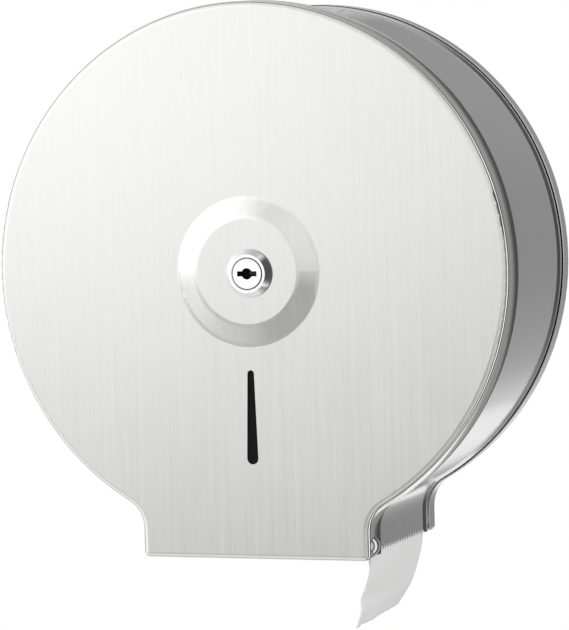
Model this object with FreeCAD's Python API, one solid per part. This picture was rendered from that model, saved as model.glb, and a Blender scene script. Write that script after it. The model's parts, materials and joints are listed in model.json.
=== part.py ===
import FreeCAD, Part
import math
import os

from FreeCAD import Vector

# Wall-mounted drum for one large roll of paper, in millimetres.
# The origin is on the roll's axis in the wall plane. +Z is up, +X is to the right
# for someone facing the drum, and the drum stands out from the wall towards -Y.
# Sizes that end in "out" are distances from the wall.

# General
overrun = 2.0
sheet = 1.0
weld_gap = 0.05
rivet_fit = 0.05
loose_gap = 0.3
edge_tolerance = 0.01

# Front cover
cover_room = 17.2
cover_radius = 136.2
neck_half_width = 60.8
neck_length = 10.0
neck_fillet = 16.0
neck_corner = 3.0
flange_depth = 18.2
bend_radius = 2.9
hem_height = 0.3
hem_length = 0.5
hem_ramp = 0.4
lip_depth = 3.5
lip_step = 1.9
lip_slope = 2.6

# Raised boss round the lock
boss_radius = 37.2
boss_flat_radius = 27.6
boss_height = 2.4
boss_blend = 9.0
boss_skirt = 3.0

# Level slot and the dark strip behind it
slot_top = 50.0
slot_bottom = 97.7
slot_top_width = 3.5
slot_bottom_width = 6.0
window_margin = 4.5
window_thickness = 1.2

# Band that forms the drum's side
band_step = 3.8
band_neck_step = 4.7
band_fillet = 20.0
band_rim_width = 1.0
rim_edge = 0.9
rim_flare = 3.8
band_front_gap = 3.0
tooth_pitch = 4.0
tooth_height = 2.1
tooth_margin = 1.4
seam_angle = 13.5
seam_slope = 13.5
seam_width = 0.5
seam_depth = 0.45

# Back pan against the wall
pan_step = 0.7
pan_rim_depth = 11.6
rim_gap = 1.7
pan_drop_step = 1.3
wall_hole_radius = 3.25
wall_hole_spacing_x = 140.0
wall_hole_spacing_z = 120.0

# Tabs that hold the band on the pan
tab_width = 14.0
tab_foot = 15.0
tab_height = 32.0
tab_angles = (90.0, 38.0, 142.0, -14.0, 194.0)
tab_rivet_radius = 1.6
tab_rivet_head = 3.2
tab_rivet_dome = 1.3

# Hinge rivets low on the neck
hinge_inset = 9.3
hinge_rise = 7.1
hinge_pin_radius = 2.0
hinge_pin_fit = 0.06
hinge_head_radius = 4.8
hinge_head_dome = 2.3
hinge_head_gap = 0.1
hinge_tail_radius = 3.4
hinge_tail_height = 1.2
hinge_spacer_radius = 4.2
hinge_spacer_gap = 0.15

# Spindle
spindle_radius = 21.6
spindle_wall = 1.4
spindle_inset = 15.0
spindle_fit = 0.1
spindle_foot_radius = 39.0
spindle_foot_thickness = 2.0
spindle_collar_height = 8.0
spindle_collar_wall = 2.0
spindle_rivet_circle = 31.0
spindle_rivet_radius = 2.4
spindle_rivet_head = 4.6
spindle_rivet_dome = 1.6
spindle_rivet_count = 4

# Keeper cap in the spindle's end, which the lock's cam turns behind
keeper_thickness = 1.5
keeper_overhang = 1.2
keeper_spigot_height = 8.5
keeper_spigot_wall = 1.5
keeper_screw_inset = 4.7
keeper_screw_radius = 1.5
keeper_screw_head = 2.8
keeper_screw_tip = 0.2

# Cam lock
lock_right = 1.6
lock_down = 0.8
bezel_radius = 12.15
bezel_front_radius = 9.7
bezel_edge = 0.9
bezel_height = 4.2
barrel_radius = 9.4
barrel_flats = 16.8
barrel_length = 13.4
plug_radius = 8.0
plug_fit = 0.07
plug_recess = 0.3
plug_groove = 0.4
nut_across_flats = 24.0
nut_thickness = 3.5
lock_washer_radius = 12.6
lock_washer_thickness = 0.8
lock_thread_fit = 0.1
keyhole_radius = 2.85
keyhole_depth = 9.0
keyway_length = 10.4
keyway_width = 2.6
keyway_depth = 6.5
plug_tail_radius = 4.4
plug_square = 6.0
clip_radius = 8.9
clip_thickness = 0.8
clip_groove = 0.8
cam_length = 29.0
cam_width = 9.6
cam_thickness = 2.0
cam_gap = 1.0
cam_slot_gap = 0.8
cam_screw_radius = 2.0
cam_screw_depth = 5.0
cam_screw_head = 3.8
cam_screw_height = 2.2

# Turning sleeve with its retaining ring
sleeve_rear_out = 4.0
sleeve_front_inset = 10.7
sleeve_hub_wall = 2.4
sleeve_rib_thickness = 2.5
sleeve_rib_count = 6
sleeve_flange_radius = 38.0
sleeve_flange_thickness = 2.0
ring_width = 2.4
ring_thickness = 1.1
ring_groove = 0.5
ring_opening = 50.0

# Roll of paper
roll_rear_out = 14.0
roll_width = 90.0
roll_radius = 98.0
core_radius = 31.0
core_wall = 2.0
tail_thickness = 0.8
tail_hang = 38.2
tail_curl_radius = 85.0

# Derived sizes of the outlines
neck_drop = cover_radius + neck_length
side_end_drop = neck_drop - lip_step
band_radius = cover_radius - band_step
band_half_width = neck_half_width - band_neck_step
hinge_drop = neck_drop - hinge_rise

# Derived places along the depth, out from the wall
roll_front_out = roll_rear_out + roll_width
cover_out = roll_front_out + cover_room
flange_end_out = cover_out - flange_depth
hinge_out = cover_out - hinge_inset
spindle_end_out = cover_out - spindle_inset
keeper_screw_out = spindle_end_out - keeper_screw_inset
sleeve_front_out = spindle_end_out - sleeve_front_inset
cover_inside_out = cover_out - sheet
boss_out = cover_out + boss_height
boss_inside_out = boss_out - sheet
band_front_out = cover_inside_out - band_front_gap
band_rear_out = pan_rim_depth + rim_gap
flare_rear_out = band_rear_out + rim_edge
flare_front_out = flare_rear_out + rim_flare
tooth_front_out = flange_end_out + tooth_margin
barrel_rear_out = boss_out - barrel_length
clip_front_out = barrel_rear_out - loose_gap
clip_rear_out = clip_front_out - clip_thickness
keeper_front_out = spindle_end_out + keeper_thickness
cam_front_out = spindle_end_out - cam_gap
cam_rear_out = cam_front_out - cam_thickness
spindle_foot_out = sheet + spindle_foot_thickness
sleeve_flange_out = roll_rear_out - loose_gap
ring_rear_out = sleeve_front_out + loose_gap
core_bore = core_radius - core_wall
tail_gap = loose_gap + tail_thickness / 2


class Outline:
    """A circle that runs through two fillets into a straight-sided neck."""

    def __init__(self, radius, half_width, drop, fillet, corner):
        self.radius = radius
        self.half_width = half_width
        self.drop = drop
        self.fillet = fillet
        self.corner = corner

    def inset(self, amount):
        """The same outline, this much further in all round."""
        return Outline(self.radius - amount, self.half_width - amount, self.drop - amount,
                       self.fillet + amount, max(self.corner - amount, 0))

    def opened(self):
        """The same outline with its neck run on past its end."""
        return Outline(self.radius, self.half_width, self.drop + 2 * overrun + sheet, self.fillet, 0)

    def fillet_centre(self):
        """Centre of the right-hand fillet, in the plane of the wall."""
        x = self.half_width + self.fillet
        reach = self.radius + self.fillet
        return Vector(x, 0, -math.sqrt(reach * reach - x * x))

    def wire(self):
        """The closed outline in the wall plane."""
        centre = self.fillet_centre()
        shoulder = centre * (self.radius / (self.radius + self.fillet))
        turn = Vector(self.half_width, 0, centre.z)
        middle = centre + fillet_middle(shoulder - centre, turn - centre, self.fillet)
        foot = Vector(self.half_width, 0, self.corner - self.drop)
        sole = Vector(self.half_width - self.corner, 0, -self.drop)
        edges = [arc(mirrored(shoulder), Vector(0, 0, self.radius), shoulder)]
        edges.append(arc(shoulder, middle, turn))
        edges.append(line(turn, foot))
        if self.corner > 0:
            knuckle = corner_middle(foot, sole, self.corner)
            edges.append(arc(foot, knuckle, sole))
            edges.append(line(sole, mirrored(sole)))
            edges.append(arc(mirrored(sole), mirrored(knuckle), mirrored(foot)))
        else:
            edges.append(line(sole, mirrored(sole)))
        edges.append(line(mirrored(foot), mirrored(turn)))
        edges.append(arc(mirrored(turn), mirrored(middle), mirrored(shoulder)))
        return Part.Wire(edges)

    def prism(self, near, far):
        """The outline's solid between two distances from the wall."""
        face = Part.Face(self.wire())
        face.translate(at_out(near))
        return face.extrude(at_out(far - near))


def at_out(distance):
    """The vector that leads this far out from the wall."""
    return Vector(0, -distance, 0)


def mirrored(point):
    """The point's image on the other side of the drum."""
    return Vector(-point.x, point.y, point.z)


def line(start, end):
    return Part.LineSegment(start, end).toShape()


def arc(start, middle, end):
    return Part.Arc(start, middle, end).toShape()


def fillet_middle(first, second, radius):
    """Middle of an arc about the origin, between two of its radii."""
    middle = first + second
    middle.normalize()
    return middle * radius


def corner_middle(foot, sole, radius):
    """Middle of the rounded corner between a neck side and its lower edge."""
    centre = Vector(sole.x, 0, foot.z)
    return centre + fillet_middle(foot - centre, sole - centre, radius)


def rod(radius, near, far, x=0, z=0):
    """A cylinder square to the wall, between two distances from it."""
    return Part.makeCylinder(radius, far - near, Vector(x, -near, z), Vector(0, -1, 0))


def tube(outer, inner, near, far, x=0, z=0):
    return rod(outer, near, far, x, z).cut(rod(inner, near - overrun, far + overrun, x, z))


def block(x_size, z_size, near, far, x=0, z=0):
    """A box centred on x and z, between two distances from the wall."""
    corner = Vector(x - x_size / 2, -far, z - z_size / 2)
    return Part.makeBox(x_size, far - near, z_size, corner)


def spun(points, x=0, z=0):
    """A solid turned about an axis square to the wall, from (radius, out) points."""
    corners = [Vector(radius, -out, 0) for radius, out in points]
    corners.append(corners[0])
    solid = Part.Face(Part.makePolygon(corners)).revolve(Vector(0, 0, 0), Vector(0, 1, 0), 360)
    solid.translate(Vector(x, 0, z))
    return solid


def dome(radius, height, near, x=0, z=0):
    """A shallow round head, its flat side this far from the wall."""
    ball = (radius * radius + height * height) / (2 * height)
    cap = Part.makeSphere(ball, Vector(x, ball - height - near, z))
    return cap.common(rod(radius, near, near + height, x, z))


def joined(shapes):
    """One solid from pieces that overlap or share faces."""
    whole = shapes[0].multiFuse(shapes[1:])
    return whole.removeSplitter()


def round_edges(shape, radius, chosen):
    """Round the shape's edges that the test picks."""
    edges = [edge for edge in shape.Edges if chosen(edge)]
    return shape.makeFillet(radius, edges)


def lies_at_out(edge, out):
    """True where the whole edge is this far from the wall."""
    box = edge.BoundBox
    return abs(box.YMin + out) < edge_tolerance and abs(box.YMax + out) < edge_tolerance


def ramp(rear, rear_out, front, front_out):
    """A solid that runs straight from one outline to another, between two distances from the wall."""
    rear_wire = rear.wire()
    rear_wire.translate(at_out(rear_out))
    front_wire = front.wire()
    front_wire.translate(at_out(front_out))
    return Part.makeLoft([rear_wire, front_wire], True, True)


cover_outline = Outline(cover_radius, neck_half_width, neck_drop, neck_fillet, neck_corner)
band_outline = Outline(band_radius, band_half_width, side_end_drop, band_fillet, 0)
rim_outline = Outline(band_radius + band_rim_width, band_half_width + band_rim_width, side_end_drop,
                      band_fillet - band_rim_width, 0)
pan_growth = band_rim_width + pan_step
pan_outline = Outline(band_radius + pan_growth, band_half_width + pan_growth, neck_drop - pan_drop_step,
                      band_fillet - pan_growth, neck_corner)


def pressed_pan(outline, closed_out, open_out):
    """Sheet pressed into a shallow pan: flat at one distance, its rim ending at the other."""
    inward = 1 if open_out > closed_out else -1
    near = min(closed_out, open_out)
    far = max(closed_out, open_out)
    outside = round_edges(outline.prism(near, far), bend_radius, lambda edge: lies_at_out(edge, closed_out))
    floor_out = closed_out + inward * sheet
    past_rim = open_out + inward * overrun
    hollow = outline.inset(sheet).prism(min(floor_out, past_rim), max(floor_out, past_rim))
    hollow = round_edges(hollow, bend_radius - sheet, lambda edge: lies_at_out(edge, floor_out))
    return outside.cut(hollow)


def neck_cutter(outline, lip_out, open_out):
    """Takes the pan's lower rim away behind its lip, with a slope up to the sides' ends."""
    step = 1 if open_out > lip_out else -1
    below = -outline.drop - overrun
    ends = lip_step - outline.drop
    past_rim = open_out + step * overrun
    profile = [(lip_out, below), (lip_out, sheet - outline.drop), (lip_out + step * lip_slope, ends),
               (past_rim, ends), (past_rim, below)]
    x = -outline.half_width - overrun
    corners = [Vector(x, -out, z) for out, z in profile]
    corners.append(corners[0])
    return Part.Face(Part.makePolygon(corners)).extrude(Vector(-2 * x, 0, 0))


def boss_shell():
    """The raised round boss, drawn from the same sheet as the face round it."""
    tilt = math.atan2(boss_height, boss_radius - boss_flat_radius)
    shift = sheet * math.tan(tilt / 2)
    skirt = boss_radius + boss_skirt
    profile = [(0, boss_out), (boss_flat_radius, boss_out), (boss_radius, cover_out), (skirt, cover_out),
               (skirt, cover_inside_out), (boss_radius - shift, cover_inside_out),
               (boss_flat_radius - shift, boss_inside_out), (0, boss_inside_out)]
    shell = spun(profile)

    def is_bend(edge):
        if not isinstance(edge.Curve, Part.Circle):
            return False
        return boss_flat_radius - sheet < edge.Curve.Radius < boss_radius + sheet

    return round_edges(shell, boss_blend, is_bend)


def slot_cutter():
    """The tapered level slot with its round ends."""
    top = slot_top_width / 2
    bottom = slot_bottom_width / 2
    upper = Vector(top, 0, -slot_top - top)
    lower = Vector(bottom, 0, bottom - slot_bottom)
    edges = [arc(mirrored(upper), Vector(0, 0, -slot_top), upper)]
    edges.append(line(upper, lower))
    edges.append(arc(lower, Vector(0, 0, -slot_bottom), mirrored(lower)))
    edges.append(line(mirrored(lower), mirrored(upper)))
    face = Part.Face(Part.Wire(edges))
    face.translate(at_out(cover_inside_out - overrun))
    return face.extrude(at_out(sheet + 2 * overrun))


def barrel_shape(radius, flats, near, far):
    """The lock's round body with a flat on each side."""
    body = rod(radius, near, far, lock_right, -lock_down)
    return body.common(block(flats, 2 * radius + overrun, near, far, lock_right, -lock_down))


def barrel_hole(near, far):
    """The flatted hole that keeps the lock's body from turning."""
    return barrel_shape(barrel_radius + lock_thread_fit, barrel_flats + 2 * lock_thread_fit, near, far)


def flange_hem():
    """Raised hem round the flange's rear edge, ramped up on its front side."""
    raised = cover_outline.inset(-hem_height)
    crest_out = flange_end_out + hem_length
    foot_out = crest_out + hem_ramp
    hem = joined([raised.prism(flange_end_out, crest_out), ramp(raised, crest_out, cover_outline, foot_out)])
    middle = cover_outline.inset(sheet / 2)
    return hem.cut(middle.prism(flange_end_out - overrun, foot_out + overrun))


def make_front_cover():
    """Brushed face, flange with its hem, lip and raised boss, in one pressed sheet."""
    cover = joined([pressed_pan(cover_outline, cover_out, flange_end_out), flange_hem()])
    cover = cover.cut(neck_cutter(cover_outline, cover_out - lip_depth, flange_end_out))
    skirt = boss_radius + boss_skirt
    cover = cover.cut(rod(skirt, cover_inside_out - overrun, cover_out + overrun))
    cover = joined([cover, boss_shell()])
    cover = cover.cut(barrel_hole(boss_inside_out - overrun, boss_out + overrun))
    cover = cover.cut(slot_cutter())
    reach = neck_half_width + overrun
    return cover.cut(hinge_rod(hinge_pin_radius + hinge_pin_fit, -reach, 2 * reach))


def make_slot_window():
    """Dark strip inside the face that closes the level slot."""
    height = slot_bottom - slot_top + 2 * window_margin
    width = slot_bottom_width + 2 * window_margin
    return block(width, height, cover_inside_out - window_thickness, cover_inside_out, 0,
                 -(slot_top + slot_bottom) / 2)


def tooth_cutter():
    """Everything below the saw-toothed lower edge, across both neck walls."""
    length = tooth_front_out - band_rear_out
    count = int(length / tooth_pitch)
    tip = -side_end_drop
    points = []
    for index in range(count):
        start = tooth_front_out - index * tooth_pitch
        points.append((start, tip))
        points.append((start - tooth_pitch / 2, tip + tooth_height))
    points.append((tooth_front_out - count * tooth_pitch, tip))
    points.append((points[-1][0], tip - overrun))
    points.append((tooth_front_out, tip - overrun))
    x = -band_half_width - band_rim_width - overrun
    corners = [Vector(x, -out, z) for out, z in points]
    corners.append(corners[0])
    return Part.Face(Part.makePolygon(corners)).extrude(Vector(-2 * x, 0, 0))


def seam_cutter():
    """Shallow slanting line where the band's two ends meet."""
    length = 2 * (band_front_out - band_rear_out)
    slab = Part.makeBox(seam_width, length, cover_radius, Vector(-seam_width / 2, -length / 2, 0))
    slab.rotate(Vector(0, 0, 0), Vector(0, 0, 1), seam_slope)
    slab.translate(at_out((band_front_out + band_rear_out) / 2))
    slab.rotate(Vector(0, 0, 0), Vector(0, 1, 0), seam_angle)
    skin = tube(band_radius + overrun, band_radius - seam_depth, flare_front_out, band_front_out + overrun)
    return slab.common(skin)


def flared_drum(outline, rim, near, far):
    """A filled drum with straight sides that open out to a wider rim near the wall."""
    flare = ramp(rim, flare_rear_out, outline, flare_front_out)
    return joined([rim.prism(near, flare_rear_out), flare, outline.prism(flare_front_out, far)])


def make_side_band():
    """The drum's side: a bent strip with a flared rear rim and two toothed lower ends."""
    band = flared_drum(band_outline, rim_outline, band_rear_out, band_front_out)
    inside = band_outline.inset(sheet).opened()
    rim_inside = rim_outline.inset(sheet).opened()
    band = band.cut(flared_drum(inside, rim_inside, band_rear_out - overrun, band_front_out + overrun))
    band = band.cut(tooth_cutter())
    band = band.cut(seam_cutter())
    pin = hinge_rod(hinge_pin_radius + rivet_fit, -neck_half_width, 2 * neck_half_width)
    return band.cut(pin)


def make_back_pan():
    """Flat pan against the wall with its rim, wall holes and rivet holes."""
    pan = pressed_pan(pan_outline, 0, pan_rim_depth)
    pan = pan.cut(neck_cutter(pan_outline, lip_depth, pan_rim_depth))
    for x, z in wall_hole_places():
        pan = pan.cut(rod(wall_hole_radius, -overrun, sheet + overrun, x, z))
    for x, z in tab_rivet_places():
        pan = pan.cut(rod(tab_rivet_radius + rivet_fit, -overrun, sheet + overrun, x, z))
    for x, z in spindle_rivet_places():
        pan = pan.cut(rod(spindle_rivet_radius + rivet_fit, -overrun, sheet + overrun, x, z))
    return pan


def wall_hole_places():
    half_x = wall_hole_spacing_x / 2
    half_z = wall_hole_spacing_z / 2
    return [(-half_x, -half_z), (half_x, -half_z), (-half_x, half_z), (half_x, half_z)]


def around(radius, angles):
    """Places on a circle about the roll's axis."""
    turns = [math.radians(angle) for angle in angles]
    return [(radius * math.cos(turn), radius * math.sin(turn)) for turn in turns]


def tab_rivet_places():
    return around(band_radius - sheet - tab_foot / 2 - sheet / 2, tab_angles)


def spindle_rivet_places():
    step = 360 / spindle_rivet_count
    return around(spindle_rivet_circle, [step * (index + 1 / 2) for index in range(spindle_rivet_count)])


def make_band_tabs():
    """Small angle tabs, welded inside the band and riveted to the pan."""
    leg_outer = band_radius - sheet - weld_gap
    leg_inner = leg_outer - sheet
    tabs = []
    for angle in tab_angles:
        leg = tube(leg_outer, leg_inner, sheet, tab_height)
        leg = leg.common(block(tab_width, tab_foot, sheet, tab_height, 0, leg_outer))
        foot = block(tab_width, tab_foot, sheet, 2 * sheet, 0, leg_inner + sheet / 2 - tab_foot / 2)
        tab = joined([leg, foot.common(rod(leg_outer, sheet, 2 * sheet))])
        tab.rotate(Vector(0, 0, 0), Vector(0, 1, 0), 90 - angle)
        x, z = around(band_radius - sheet - tab_foot / 2 - sheet / 2, [angle])[0]
        tabs.append(tab.cut(rod(tab_rivet_radius + rivet_fit, 0, 2 * sheet + overrun, x, z)))
    return Part.makeCompound(tabs)


def headed_rivets(places, shank_radius, head_radius, head_height, head_out):
    """Round-headed rivets that end flush with the pan's back."""
    rivets = []
    for x, z in places:
        shank = rod(shank_radius, 0, head_out, x, z)
        rivets.append(joined([shank, dome(head_radius, head_height, head_out, x, z)]))
    return Part.makeCompound(rivets)


def make_tab_rivets():
    return headed_rivets(tab_rivet_places(), tab_rivet_radius, tab_rivet_head, tab_rivet_dome, 2 * sheet)


def hinge_rod(radius, start, length):
    """A cylinder on the cover's hinge axis."""
    return Part.makeCylinder(radius, length, Vector(start, -hinge_out, -hinge_drop), Vector(1, 0, 0))


def on_both_sides(piece):
    """The piece and its mirror image in one group."""
    return Part.makeCompound([piece, piece.mirror(Vector(0, 0, 0), Vector(1, 0, 0))])


def make_hinge_rivets():
    """Two shoulder rivets that the cover swings on."""
    seat = neck_half_width + hinge_head_gap
    inside = band_half_width - sheet
    shank = hinge_rod(hinge_pin_radius, inside - hinge_tail_height, seat - inside + hinge_tail_height)
    tail = hinge_rod(hinge_tail_radius, inside - hinge_tail_height, hinge_tail_height)
    height = hinge_head_dome
    ball = (hinge_head_radius * hinge_head_radius + height * height) / (2 * height)
    cap = Part.makeSphere(ball, Vector(seat + height - ball, -hinge_out, -hinge_drop))
    head = cap.common(hinge_rod(hinge_head_radius, seat, height))
    return on_both_sides(joined([shank, tail, head]))


def make_hinge_spacers():
    """Spacers that keep the cover's flange clear of the band."""
    length = neck_half_width - sheet - band_half_width - hinge_spacer_gap
    spacer = hinge_rod(hinge_spacer_radius, band_half_width, length)
    bore = hinge_rod(hinge_pin_radius + rivet_fit, band_half_width - overrun, length + 2 * overrun)
    return on_both_sides(spacer.cut(bore))


def make_spindle_foot():
    """Round foot with a collar that the spindle tube sits on."""
    collar_radius = spindle_radius - spindle_wall - rivet_fit
    collar_out = spindle_foot_out + spindle_collar_height
    foot = rod(spindle_foot_radius, sheet, spindle_foot_out)
    foot = joined([foot, rod(collar_radius, spindle_foot_out, collar_out)])
    foot = foot.cut(rod(collar_radius - spindle_collar_wall, 0, collar_out + overrun))
    for x, z in spindle_rivet_places():
        foot = foot.cut(rod(spindle_rivet_radius + rivet_fit, 0, spindle_foot_out + overrun, x, z))
    return foot


def make_spindle_rivets():
    return headed_rivets(spindle_rivet_places(), spindle_rivet_radius, spindle_rivet_head,
                         spindle_rivet_dome, spindle_foot_out)


def keeper_screw_shape(grow, run):
    """The countersunk keeper screw on the right, or its hole where it is grown and run on."""
    sideways = Vector(1, 0, 0)
    shank_radius = keeper_screw_radius + grow
    head_radius = keeper_screw_head + grow
    inner = spindle_radius - spindle_wall - rivet_fit - keeper_spigot_wall + keeper_screw_tip - run
    outer = spindle_radius - rivet_fit
    depth = keeper_screw_head - keeper_screw_radius
    shank = Part.makeCylinder(shank_radius, outer - inner, Vector(inner, -keeper_screw_out, 0), sideways)
    head_start = Vector(outer - depth, -keeper_screw_out, 0)
    screw = joined([shank, Part.makeCone(shank_radius, head_radius, depth, head_start, sideways)])
    if run == 0:
        return screw
    return joined([screw, Part.makeCylinder(head_radius, run, Vector(outer, -keeper_screw_out, 0), sideways)])


def make_spindle_tube():
    """Steel tube with a groove for the retaining ring and two countersunk holes."""
    inner = spindle_radius - spindle_wall
    pipe = tube(spindle_radius, inner, spindle_foot_out, spindle_end_out)
    groove = tube(spindle_radius + overrun, spindle_radius - ring_groove, ring_rear_out - weld_gap,
                  ring_rear_out + ring_thickness + weld_gap)
    pipe = pipe.cut(groove)
    return pipe.cut(on_both_sides(keeper_screw_shape(rivet_fit, overrun)))


def make_keeper_cap():
    """Cap on the spindle's end, with the slot that the cam passes through."""
    spigot_radius = spindle_radius - spindle_wall - rivet_fit
    bore = spigot_radius - keeper_spigot_wall
    disc = rod(spindle_radius + keeper_overhang, spindle_end_out, keeper_front_out)
    spigot = tube(spigot_radius, bore, spindle_end_out - keeper_spigot_height, spindle_end_out)
    cap = joined([disc, spigot])
    slot = block(cam_length + 2 * cam_slot_gap, cam_width + 2 * cam_slot_gap, spindle_end_out - overrun,
                 keeper_front_out + overrun, lock_right, -lock_down)
    cap = cap.cut(slot)
    return cap.cut(on_both_sides(keeper_screw_shape(rivet_fit, overrun)))


def make_keeper_screws():
    return on_both_sides(keeper_screw_shape(0, 0))


def make_spindle_sleeve():
    """Ribbed plastic hub that turns on the tube and carries the roll's core."""
    bore = spindle_radius + spindle_fit
    hub = bore + sleeve_hub_wall
    pieces = [rod(hub, sleeve_rear_out, sleeve_front_out)]
    pieces.append(rod(sleeve_flange_radius, sleeve_flange_out - sleeve_flange_thickness, sleeve_flange_out))
    rib_reach = core_bore - loose_gap
    rib = block(sleeve_rib_thickness, rib_reach - bore, sleeve_flange_out - sleeve_flange_thickness,
                sleeve_front_out - sleeve_flange_thickness, 0, (rib_reach + bore) / 2)
    rib = rib.common(rod(rib_reach, sleeve_rear_out, sleeve_front_out))
    for index in range(sleeve_rib_count):
        turned = rib.copy()
        turned.rotate(Vector(0, 0, 0), Vector(0, 1, 0), index * 360 / sleeve_rib_count)
        pieces.append(turned)
    return joined(pieces).cut(rod(bore, 0, spindle_end_out))


def make_sleeve_ring():
    """Open spring ring that keeps the sleeve on the tube."""
    inner = spindle_radius - ring_groove + weld_gap
    ring = tube(inner + ring_width, inner, ring_rear_out, ring_rear_out + ring_thickness)
    reach = inner + ring_width + overrun
    half = reach * math.tan(math.radians(ring_opening / 2))
    corners = [Vector(0, 0, 0), Vector(half, 0, -reach), Vector(-half, 0, -reach), Vector(0, 0, 0)]
    wedge = Part.Face(Part.makePolygon(corners))
    wedge.translate(at_out(ring_rear_out - overrun))
    return ring.cut(wedge.extrude(at_out(ring_thickness + 2 * overrun)))


def make_roll_core():
    return tube(core_radius, core_bore, roll_rear_out, roll_front_out)


def make_paper_roll():
    return tube(roll_radius, core_radius + weld_gap, roll_rear_out, roll_front_out)


def tail_edges(side):
    """One face of the hanging paper, this far to the right of its middle."""
    centre = band_outline.fillet_centre()
    off_roll = roll_radius + tail_gap + side
    off_band = band_fillet + sheet + tail_gap - side
    reach = centre.Length
    swing = math.acos((off_roll + off_band) / reach)
    angle = math.atan2(centre.z, centre.x) + swing
    outward = Vector(math.cos(angle), 0, math.sin(angle))
    leaves_roll = outward * off_roll
    meets_neck = centre - outward * off_band
    hangs = Vector(centre.x - off_band, 0, centre.z)
    wrap = centre + fillet_middle(meets_neck - centre, hangs - centre, off_band)
    curl_start = Vector(hangs.x, 0, -side_end_drop)
    curl_radius = tail_curl_radius + side
    curl_centre = Vector(curl_start.x - curl_radius, 0, -side_end_drop)
    bend = math.asin(tail_hang / tail_curl_radius)
    ends = curl_centre + Vector(math.cos(bend), 0, -math.sin(bend)) * curl_radius
    curl = curl_centre + Vector(math.cos(bend / 2), 0, -math.sin(bend / 2)) * curl_radius
    return [line(leaves_roll, meets_neck), arc(meets_neck, wrap, hangs), line(hangs, curl_start),
            arc(curl_start, curl, ends)], leaves_roll, ends


def make_paper_tail():
    """Free end of the paper: off the roll, over the neck's shoulder and out past the teeth."""
    outer, outer_start, outer_end = tail_edges(tail_thickness / 2)
    inner, inner_start, inner_end = tail_edges(-tail_thickness / 2)
    closing = [line(outer_end, inner_end), line(inner_start, outer_start)]
    face = Part.Face(Part.Wire(Part.__sortEdges__(outer + inner + closing)))
    face.translate(at_out(roll_rear_out))
    return face.extrude(at_out(roll_width))


def make_lock_housing():
    """Chromed lock body: bevelled bezel, flatted barrel and through bore."""
    front = boss_out + bezel_height
    bore = plug_radius + plug_fit
    profile = [(0, boss_out), (bezel_radius, boss_out), (bezel_radius, boss_out + bezel_edge),
               (bezel_front_radius, front), (0, front)]
    bezel = spun(profile, lock_right, -lock_down)
    body = joined([bezel, barrel_shape(barrel_radius, barrel_flats, barrel_rear_out, boss_out)])
    flare = [(0, barrel_rear_out - overrun), (bore, barrel_rear_out - overrun), (bore, front - plug_groove),
             (bore + plug_groove, front), (bore + plug_groove, front + overrun), (0, front + overrun)]
    return body.cut(spun(flare, lock_right, -lock_down))


def make_lock_washer():
    """Washer with a flatted hole, between the boss and the nut."""
    rear = boss_inside_out - lock_washer_thickness
    washer = rod(lock_washer_radius, rear, boss_inside_out, lock_right, -lock_down)
    return washer.cut(barrel_hole(rear - overrun, boss_out))


def make_lock_nut():
    """Thin hexagon nut that clamps the lock in the boss."""
    far = boss_inside_out - lock_washer_thickness
    near = far - nut_thickness
    corner_radius = nut_across_flats / 2 / math.cos(math.radians(30))
    places = around(corner_radius, [60 * index for index in range(7)])
    hexagon = Part.Face(Part.makePolygon([Vector(x, 0, z) for x, z in places]))
    hexagon.translate(at_out(near) + Vector(lock_right, 0, -lock_down))
    nut = hexagon.extrude(at_out(nut_thickness))
    hole = barrel_radius + lock_thread_fit
    return nut.cut(rod(hole, near - overrun, far + overrun, lock_right, -lock_down))


def make_lock_plug():
    """Turning plug: face with its keyhole, body, and a squared tail for the cam."""
    front = boss_out + bezel_height - plug_recess
    profile = [(0, barrel_rear_out), (plug_radius, barrel_rear_out), (plug_radius, front - plug_groove),
               (plug_radius - plug_groove, front), (0, front)]
    body = spun(profile, lock_right, -lock_down)
    tail = rod(plug_tail_radius, cam_front_out, barrel_rear_out, lock_right, -lock_down)
    square = block(plug_square, plug_square, cam_rear_out, cam_front_out, lock_right, -lock_down)
    plug = joined([body, tail, square])
    cuts = [
        tube(plug_tail_radius + overrun, plug_tail_radius - clip_groove,
             clip_rear_out - weld_gap, clip_front_out + weld_gap, lock_right, -lock_down),
        rod(keyhole_radius, front - keyhole_depth, front + overrun, lock_right, -lock_down),
        block(keyway_length, keyway_width, front - keyway_depth, front + overrun, lock_right, -lock_down),
        rod(cam_screw_radius + rivet_fit, cam_rear_out - overrun, cam_rear_out + cam_screw_depth,
            lock_right, -lock_down),
    ]
    for cutter in cuts:
        plug = plug.cut(cutter)
    return plug


def make_lock_clip():
    """Spring clip that holds the plug in its barrel."""
    neck_radius = plug_tail_radius - clip_groove
    clip = tube(clip_radius, neck_radius + weld_gap, clip_rear_out, clip_front_out, lock_right, -lock_down)
    mouth = block(2 * neck_radius, clip_radius, clip_rear_out - overrun, clip_front_out + overrun,
                  lock_right, -lock_down - clip_radius / 2 - keyhole_radius)
    return clip.cut(mouth)


def make_lock_cam():
    """Bar with round ends that turns behind the keeper cap."""
    reach = cam_length - cam_width
    bar = block(reach, cam_width, cam_rear_out, cam_front_out, lock_right, -lock_down)
    left = rod(cam_width / 2, cam_rear_out, cam_front_out, lock_right - reach / 2, -lock_down)
    right = rod(cam_width / 2, cam_rear_out, cam_front_out, lock_right + reach / 2, -lock_down)
    side = plug_square + 2 * rivet_fit
    hole = block(side, side, cam_rear_out - overrun, cam_front_out + overrun, lock_right, -lock_down)
    return joined([bar, left, right]).cut(hole)


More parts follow.
